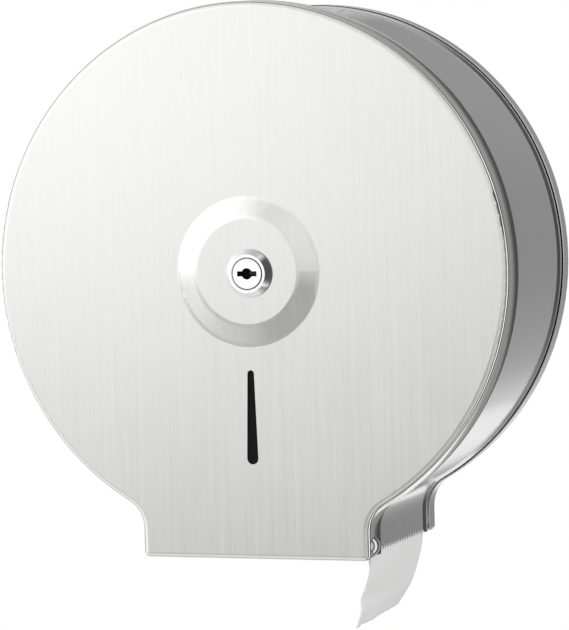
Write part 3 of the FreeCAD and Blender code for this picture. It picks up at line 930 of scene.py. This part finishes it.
@dataclass(frozen=True)
class RollOfPaper:
    """The wound roll, whose cut ends show its layers."""

    around: int = 180
    profile: int = 240
    ridge: float = 0.0005
    lump: float = 0.0006
    seed: int = 3
    core_gap: float = 0.0001
    weld: float = 0.00001

    # Noise for the layers, per metre of radius, and for the lumps, round the roll and per metre.
    layer_scale: float = 700.0
    layer_octaves: float = 2.0
    lump_circle: float = 2.0
    lump_scale: float = 18.0
    lump_octaves: float = 1.0

    # How steeply an end's unevenness sets in beside its rims.
    end_steepness: float = 6.0

    # The roll's cut is a closed path of four stretches: out, forward, in and back.
    stretches: float = 4.0

    def build(self, material: bpy.types.Material) -> bpy.types.Object:
        """Wind the roll with Geometry Nodes and turn it into a mesh.

        Args:
            material: Its finish.

        Returns:
            The roll as a plain mesh.
        """
        low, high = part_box("paper_roll")
        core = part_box("roll_core")[1].x
        sizes = {"Core Radius": core + self.core_gap, "Outer Radius": high.x, "Rear": high.y,
                 "Front": low.y, "Ridge": self.ridge, "Lump": self.lump, "Seed": float(self.seed)}
        tree = self.tree(list(sizes), material)
        carrier = mesh_piece("wound_roll", [], [], material)
        modifier = carrier.modifiers.new("wind", "NODES")
        modifier.node_group = tree
        for item in tree.interface.items_tree:
            if item.in_out == "INPUT" and item.name in sizes:
                modifier[item.identifier] = sizes[item.name]
        return baked(carrier)

    def tree(self, names: list[str], material: bpy.types.Material) -> bpy.types.NodeTree:
        """Build the winding tree.

        Args:
            names: The tree's number inputs.
            material: The finish to set.

        Returns:
            The tree.
        """
        tree = bpy.data.node_groups.new("wind_roll", "GeometryNodeTree")
        tree.interface.new_socket("Geometry", in_out="OUTPUT", socket_type="NodeSocketGeometry")
        for name in names:
            tree.interface.new_socket(name, in_out="INPUT", socket_type="NodeSocketFloat")
        bench = Bench(tree)
        given = bench.node("NodeGroupInput")
        size = {name: Signal(bench, given.outputs[name]) for name in names}
        grid = bench.node("GeometryNodeMeshGrid", None, {
            "Size X": 1.0, "Size Y": 1.0, "Vertices X": self.around, "Vertices Y": self.profile})
        spot = self.surface(bench, size)
        moved = bench.node("GeometryNodeSetPosition", None, {0: grid.outputs[0], "Position": spot})
        closed = bench.node("GeometryNodeMergeByDistance", None, {
            "Geometry": moved.outputs[0], "Distance": self.weld})
        real = bench.node("GeometryNodeRealizeInstances", None, {0: closed.outputs[0]})
        dressed = bench.node("GeometryNodeSetMaterial", None, {
            "Geometry": real.outputs[0], "Material": material})
        bench.node("NodeGroupOutput", None, {0: dressed.outputs[0]})
        return tree

    def surface(self, bench: Bench, size: dict[str, Signal]) -> bpy.types.NodeSocket:
        """Bend the flat grid round the axis, with uneven layers on the ends and a lumpy outside.

        Args:
            bench: The tree's nodes.
            size: The tree's number inputs by name.

        Returns:
            Where each of the grid's points goes.
        """
        across, upward, _ = bench.split(bench.node("GeometryNodeInputPosition").outputs[0])
        turn = (across + 0.5) * math.tau
        step = (upward + 0.5) * self.stretches
        outward = step.least(self.stretches - 1.0 - step).clamped()
        forward = (step - 1.0).least(self.stretches - step).clamped()
        radius = size["Core Radius"] + (size["Outer Radius"] - size["Core Radius"]) * outward
        ring = bench.joined(radius * self.layer_scale, size["Seed"], 0.0)
        layers = bench.signal("ShaderNodeTexNoise", {"noise_dimensions": "2D"}, {
            "Vector": ring, "Scale": 1.0, "Detail": self.layer_octaves})
        swell = bench.joined(turn.cosine() * self.lump_circle, turn.sine() * self.lump_circle,
                             radius * self.lump_scale + size["Seed"])
        lumps = bench.signal("ShaderNodeTexNoise", None, {
            "Vector": swell, "Scale": 1.0, "Detail": self.lump_octaves})
        on_end = (outward * (1.0 - outward) * (PARABOLA * self.end_steepness)).clamped()
        inset = (layers * size["Ridge"] + lumps * size["Lump"]) * on_end
        inward = inset * (1.0 - forward * 2.0)
        dip = lumps * size["Lump"] * outward * forward * (1.0 - forward) * PARABOLA
        reach = radius - dip
        y = size["Rear"] + (size["Front"] - size["Rear"]) * forward - inward
        return bench.joined(reach * turn.cosine(), y, reach * turn.sine())


def baked(carrier: bpy.types.Object) -> bpy.types.Object:
    """Turn an object with modifiers into a plain mesh.

    Args:
        carrier: The object whose modifiers make the shape.

    Returns:
        The same object with its result as its mesh and no modifiers.
    """
    graph = bpy.context.evaluated_depsgraph_get()
    made = bpy.data.meshes.new_from_object(carrier.evaluated_get(graph))
    made.polygons.foreach_set("use_smooth", [True] * len(made.polygons))
    carrier.modifiers.clear()
    carrier.data = made
    return carrier


# The picture

@dataclass(frozen=True)
class PhotoCamera:
    """The photograph's viewpoint, worked out from the drum's outlines."""

    target: Triple = (0.0, -0.060, 0.0)
    distance: float = 2.07308
    turn: float = 0.3438
    fall: float = 0.0573
    roll: float = -0.0251
    focal_px: float = 4000.0
    centre_px: tuple[float, float] = (288.78, 263.88)
    frame_px: tuple[int, int] = (569, 630)
    sensor: float = 36.0
    far_end: float = 50.0

    def build(self) -> bpy.types.Object:
        """Add the camera and make it the scene's.

        Returns:
            The camera.
        """
        flat = math.cos(self.fall)
        ahead = Vector((-math.sin(self.turn) * flat, math.cos(self.turn) * flat, -math.sin(self.fall)))
        level = Vector((math.cos(self.turn), math.sin(self.turn), 0.0))
        upright = level.cross(ahead)
        right = level * math.cos(self.roll) + upright * math.sin(self.roll)
        up = upright * math.cos(self.roll) - level * math.sin(self.roll)
        lens = bpy.data.cameras.new("photo_camera")
        tall = max(self.frame_px)
        lens.lens = self.focal_px / tall * self.sensor
        lens.sensor_width = self.sensor
        lens.shift_x = (self.frame_px[0] / 2 - self.centre_px[0]) / tall
        lens.shift_y = (self.centre_px[1] - self.frame_px[1] / 2) / tall
        lens.clip_end = self.far_end
        camera = bpy.data.objects.new("photo_camera", lens)
        turned = Matrix((right, up, -ahead)).transposed().to_4x4()
        camera.matrix_world = Matrix.Translation(Vector(self.target) - ahead * self.distance) @ turned
        bpy.context.scene.collection.objects.link(camera)
        bpy.context.scene.camera = camera
        return camera


@dataclass(frozen=True)
class SoftLamp:
    """One square soft light, which the steel doesn't mirror."""

    name: str
    place: Triple
    aim: Triple
    size: float
    radiance: float

    def build(self) -> bpy.types.Object:
        """Add the lamp.

        Returns:
            The lamp.
        """
        light = bpy.data.lights.new(self.name, "AREA")
        light.size = self.size
        light.energy = self.radiance * math.pi * self.size * self.size
        lamp = bpy.data.objects.new(self.name, light)
        lamp.location = self.place
        way = Vector(self.aim) - Vector(self.place)
        lamp.rotation_euler = way.to_track_quat("-Z", "Y").to_euler()
        lamp.visible_glossy = False
        bpy.context.scene.collection.objects.link(lamp)
        return lamp


@dataclass(frozen=True)
class Studio:
    """A pale floor, soft lamps, and a room that the camera sees as white and the steel mirrors."""

    floor_drop: float = -0.62
    floor_front: float = -0.45
    floor_rear: float = 1.8
    floor_left: float = -2.5
    floor_right: float = 0.15
    floor_tone: float = 0.82
    lamps: tuple[SoftLamp, ...] = (
        SoftLamp("key_lamp", (-0.78, -1.12, 0.32), (0.0, -0.12, 0.03), 0.6, 1.1),
        SoftLamp("side_lamp", (1.3, -0.5, 1.3), (0.05, -0.06, -0.15), 1.2, 3.4),
        SoftLamp("top_lamp", (-0.2, 0.1, 1.9), (0.0, -0.06, 0.0), 1.2, 0.9),
    )

    # A ramp's colours end at 1, so its levels are stored as shares of this one.
    brightest: float = 2.0

    # How bright the room is by compass turn in degrees, seen from the drum: 0 behind it, 90 to its right.
    room: Pairs = (
        (-180, 1.00), (-170, 0.90), (-163.5, 1.01), (-160, 1.28), (-157, 1.30), (-150, 1.24), (-120, 1.20),
        (-90, 1.00), (-55, 0.90), (-30, 0.80), (35, 0.15), (60, 0.10), (64, 1.25), (87, 1.25),
        (91, 0.08), (105, 0.10), (110, 0.90), (157, 0.85), (166, 0.92), (172, 1.00), (180, 1.00),
    )

    # Share of that brightness by height, in front of the drum: -1 is straight down and 0 is level.
    front_heights: Pairs = (
        (-1.0, 0.46), (-0.5, 0.50), (-0.3, 0.50), (-0.16, 0.38), (-0.105, 0.42), (-0.065, 1.0),
        (-0.02, 1.0), (0.005, 0.93), (0.3, 0.95), (1.0, 0.6),
    )

    # From which share of the way forward those heights begin to count, and count in full.
    front: Span = (-0.4, -0.8)

    # A soft spot of light in front, on the left: the way to it, its edge and heart by the cosine of the
    # turn away from that, and by how much it adds to the walls.
    spot_way: Triple = (-0.74, -0.66, 0.10)
    spot: Span = (0.83, 0.93)
    spot_level: float = 0.28

    # Brightness behind the drum, by the cosine of the turn away from straight behind.
    behind: Pairs = (
        (0.0, 0.10), (0.75, 0.08), (0.80, 0.08), (0.85, 0.17), (0.885, 0.27), (0.92, 0.345), (0.94, 0.28),
        (0.965, 0.33), (0.98, 0.38), (0.992, 0.45), (1.0, 0.75),
    )

    # From which share of the way back the wall behind begins, and is alone.
    rear: Span = (0.55, 0.72)

    # The wall behind grows brighter upwards, by this share over these heights.
    climb: Span = (0.1, 0.35)
    climb_gain: float = 0.2

    # Its lit field: the shares of x and z in its slanting edge, and where it sets in beyond that edge,
    # upwards and to the left.
    field_slant: tuple[float, float] = (0.27, 0.04)
    field_edge: Span = (0.872, 0.835)
    field_height: Span = (0.0, 0.1)
    field_left: Span = (0.6, 0.35)

    # Its lit strip, nearly straight behind, and where that sets in to the left.
    strip_edge: Span = (0.934, 0.942)
    strip_left: Span = (-0.24, -0.32)

    # Brightness of both straight behind, and how much they lose towards the right.
    lit_level: float = 0.58
    lit_loss: float = 0.3

    # Brightness of the ceiling, and from which height it begins and is alone.
    ceiling: float = 0.60
    overhead: Span = (0.75, 1.0)

    def build(self) -> None:
        """Add the floor, the surroundings and the lamps."""
        corners = [Vector((x, y, self.floor_drop)) for x, y in (
            (self.floor_left, self.floor_front), (self.floor_right, self.floor_front),
            (self.floor_right, self.floor_rear), (self.floor_left, self.floor_rear))]
        floor = mesh_piece("floor", corners, [(0, 1, 2, 3)], self.floor_material(), False)
        self.surroundings()
        for lamp in self.lamps:
            lamp.build()
        bpy.context.scene.view_settings.view_transform = "Standard"

    def floor_material(self) -> bpy.types.Material:
        """A pale floor that the camera and the steel see as white.

        Returns:
            The material.
        """
        made = bpy.data.materials.new("pale_floor")
        bench = cleared(made)
        plain = bench.node("ShaderNodeBsdfDiffuse", None, {"Color": grey(self.floor_tone)})
        white = bench.node("ShaderNodeEmission", None, {"Color": grey(1.0), "Strength": 1.0})
        path = bench.node("ShaderNodeLightPath").outputs
        seen = Signal(bench, path["Is Camera Ray"]).most(Signal(bench, path["Is Glossy Ray"]))
        both = bench.node("ShaderNodeMixShader", None, {0: seen, 1: plain.outputs[0], 2: white.outputs[0]})
        bench.node("ShaderNodeOutputMaterial", None, {"Surface": both.outputs[0]})
        return made

    def surroundings(self) -> None:
        """A room with dark and bright stretches for the steel to mirror, white to the camera."""
        world = bpy.data.worlds.new("white_room")
        bench = cleared(world)
        bpy.context.scene.world = world
        x, y, z = bench.places("Generated")
        walls = self.brightness(bench, self.room, (-180.0, 180.0), x.angle(y) / math.tau + 0.5)
        share = self.brightness(bench, self.front_heights, (-1.0, 1.0), z * 0.5 + 0.5)
        right, back, up = self.spot_way
        spot = (x * right + y * back + z * up).rise(*self.spot)
        sides = (walls + spot * self.spot_level) * ((share - 1.0) * y.rise(*self.front) + 1.0)
        around = sides + (self.rear_wall(bench, x, y, z) - sides) * y.rise(*self.rear)
        level = around + (self.ceiling - around) * z.rise(*self.overhead)
        seen = bench.signal("ShaderNodeLightPath", None, None, "Is Camera Ray")
        strength = level + seen * (1.0 - level)
        glow = bench.node("ShaderNodeBackground", None, {"Color": grey(1.0), "Strength": strength})
        bench.node("ShaderNodeOutputWorld", None, {"Surface": glow.outputs[0]})

    def brightness(self, bench: Bench, curve: Pairs, span: Span, share: Signal) -> Signal:
        """Read a brightness off a curve.

        Args:
            bench: The room's nodes.
            curve: Pairs of place and brightness.
            span: The places where the ramp starts and ends.
            share: Share of the way from its start to its end.

        Returns:
            The brightness.
        """
        start, end = span
        stops = [((place - start) / (end - start), level / self.brightest) for place, level in curve]
        ramp = bench.signal("ShaderNodeValToRGB", {"stops": stops}, {0: share})
        return ramp * self.brightest

    def rear_wall(self, bench: Bench, x: Signal, y: Signal, z: Signal) -> Signal:
        """The wall behind the drum, dark to its sides and lit from high on the left.

        Args:
            bench: The room's nodes.
            x: Share of the way that points right.
            y: Share that points back.
            z: Share that points up.

        Returns:
            The wall's brightness.
        """
        low = z.least(0.0)
        facing = y / (1.0 - low * low).root()
        wall = self.brightness(bench, self.behind, (0.0, 1.0), facing)
        wall = wall * (z.rise(*self.climb) * self.climb_gain + 1.0)
        slanting = y + x * self.field_slant[0] + z * self.field_slant[1]
        field = slanting.rise(*self.field_edge) * z.rise(*self.field_height) * x.rise(*self.field_left)
        strip = y.rise(*self.strip_edge) * x.rise(*self.strip_left)
        lit = self.lit_level - x * self.lit_loss
        return wall + (lit - wall) * field.most(strip)


# The dispenser

class Dispenser:
    """All nodes of the model with their finishes, and the pieces that replace its soft solids."""

    finishes = {
        "brushed_steel": CoverSteel("brushed_face", (0.80, 0.80, 0.79), 0.22, Grain.UPRIGHT, 0.09, 0.08),
        "band_steel": BandSteel("drum_side", (0.74, 0.74, 0.74), 0.12, Grain.AROUND, 0.05, 0.05, 0.000002),
        "satin_steel": Steel("satin_steel", (0.72, 0.72, 0.72), 0.24, Grain.AROUND, 0.06, 0.06, 0.000003),
        "rivet_steel": Steel("rivet_steel", (0.68, 0.68, 0.68), 0.18, Grain.FINE, 0.05, 0.04, 0.000002),
        "spring_steel": Steel("spring_steel", (0.55, 0.55, 0.56), 0.28, Grain.FINE, 0.08, 0.06, 0.000004),
        "chrome": Chrome("chrome", (0.86, 0.86, 0.87), 0.08),
        "spacer_plastic": Plastic("spacer_plastic", (0.80, 0.80, 0.77), 0.35),
        "sleeve_plastic": Plastic("sleeve_plastic", (0.30, 0.31, 0.33), 0.5),
        "window_plastic": Plastic("window_plastic", (0.006, 0.006, 0.007), 0.4, shine=0.1),
        "core_board": Board("core_board", (0.52, 0.42, 0.31), 0.9),
        "tissue": Tissue("tissue", (0.90, 0.90, 0.895), 0.95),
    }
    # The plug's and the bezel's own platings, with painted shade.
    plug_chrome = PlugChrome("plug_chrome", (0.86, 0.86, 0.87), 0.12)
    bezel_chrome = BezelChrome("bezel_chrome", (0.86, 0.86, 0.87), 0.08)
    # The pan's own steel, with painted shade inside its rim.
    pan_steel = PanSteel("pan_steel", (0.72, 0.72, 0.72), 0.20, Grain.AROUND, 0.06, 0.06, 0.000003)
    wound_tissue = WoundTissue("wound_tissue", (0.86, 0.86, 0.855), 0.95)

    # Thickness of the cover's sheet, which lies against the front of the level slot's strip.
    cover_sheet = 0.001

    def __init__(self, frame: dict[str, Any]) -> None:
        """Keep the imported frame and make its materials, fitted to its places.
        """
        self.frame = frame
        finishes = dict(self.finishes)
        finishes["brushed_steel"] = replace(
            finishes["brushed_steel"], face_y=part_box("slot_window")[0].y - self.cover_sheet,
            flange_end_y=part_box("front_cover")[1].y)
        finishes["band_steel"] = replace(finishes["band_steel"], rear_y=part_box("side_band")[1].y)
        self.materials = {slot: finish.material() for slot, finish in finishes.items()}
        low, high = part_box("lock_plug")
        plug = replace(self.plug_chrome, front_y=low.y, radius=(high.x - low.x) / 2,
                       centre_x=(low.x + high.x) / 2, centre_z=(low.z + high.z) / 2)
        bezel = replace(self.bezel_chrome, front_y=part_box("lock_housing")[0].y)
        low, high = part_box("back_pan")
        pan = replace(self.pan_steel, front_y=low.y, radius=high.x)
        self.own_materials = {
            "lock_plug": plug.material(), "lock_housing": bezel.material(), "back_pan": pan.material()}

    def dress_nodes(self) -> None:
        """Give every node of the model its finish."""
        for part in self.frame["record"]["subparts"]:
            node = self.frame["nodes"][part["node"]]
            material = self.own_materials.get(part["node"], self.materials[part["material_slot"]])
            node.data.materials.clear()
            node.data.materials.append(material)
            LOG.info("%s wears %s", part["node"], material.name)

    def hang_paper(self) -> None:
        """Put the torn paper end in the neck."""
        tail = PaperTail()
        sheet = tail.build(self.materials["tissue"])
        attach(sheet, "housing")
        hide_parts("paper_tail")
        tail.length()
        LOG.info("paper end hangs in the neck")

    def wind_roll(self) -> None:
        """Put the wound roll on its core."""
        roll = RollOfPaper().build(self.wound_tissue.material())
        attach(roll, "roll")
        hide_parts("paper_roll")
        LOG.info("roll of paper wound")


def main() -> None:
    """Build the picture and the dispenser."""
    logging.basicConfig(level=logging.INFO, format="%(message)s")
    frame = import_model()
    PhotoCamera().build()
    Studio().build()
    dispenser = Dispenser(frame)
    dispenser.dress_nodes()
    dispenser.hang_paper()
    dispenser.wind_roll()


if __name__ == "__main__":
    main()
